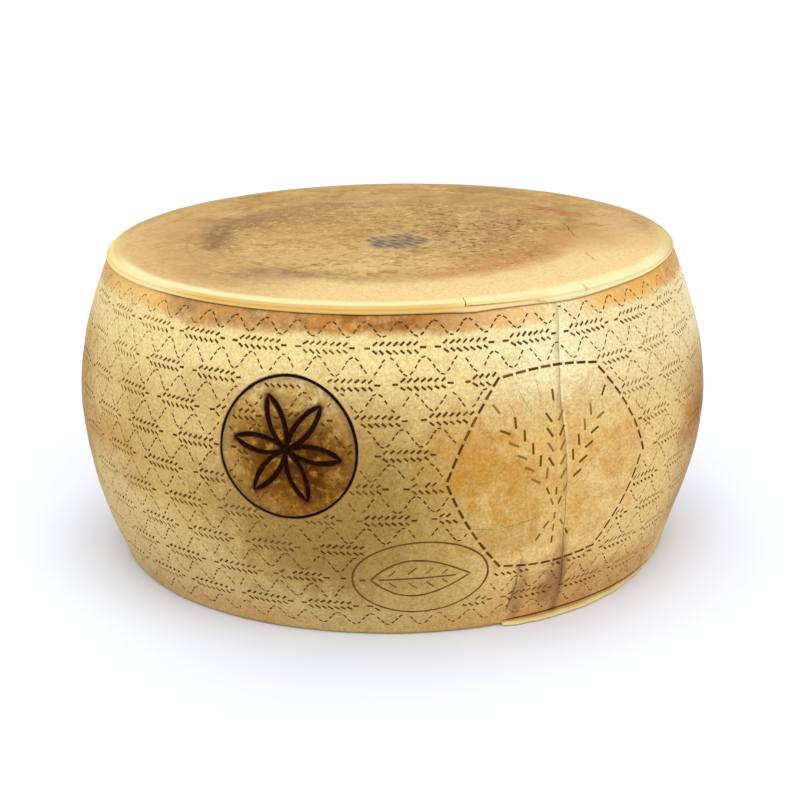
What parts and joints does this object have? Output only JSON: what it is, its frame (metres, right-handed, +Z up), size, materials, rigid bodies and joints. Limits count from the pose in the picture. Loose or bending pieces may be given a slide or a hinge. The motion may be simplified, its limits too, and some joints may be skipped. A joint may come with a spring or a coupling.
{
  "type": "hard cheese wheel",
  "caption": "Whole aged hard cheese wheel with a bulging golden side, rolled rim and pressed marks, standing on its flat base.",
  "frame": {"origin": "centre of the flat base, on the surface that the wheel stands on", "axes": "+Z up the wheel's axis, -Y towards the marked front, +X to the right of the front"},
  "size_m": [0.4394, 0.4405, 0.2145],
  "materials": {
    "rind": "oiled, pressed cheese rind: golden, finely grained, with a brown glazed band under the rim and scorched marks",
    "casein": "dull grey-brown casein with slanting grooves"
  },
  "bodies": {
    "root": {"cheese_wheel": "rind", "casein_plate": "casein"}
  },
  "joints": []
}
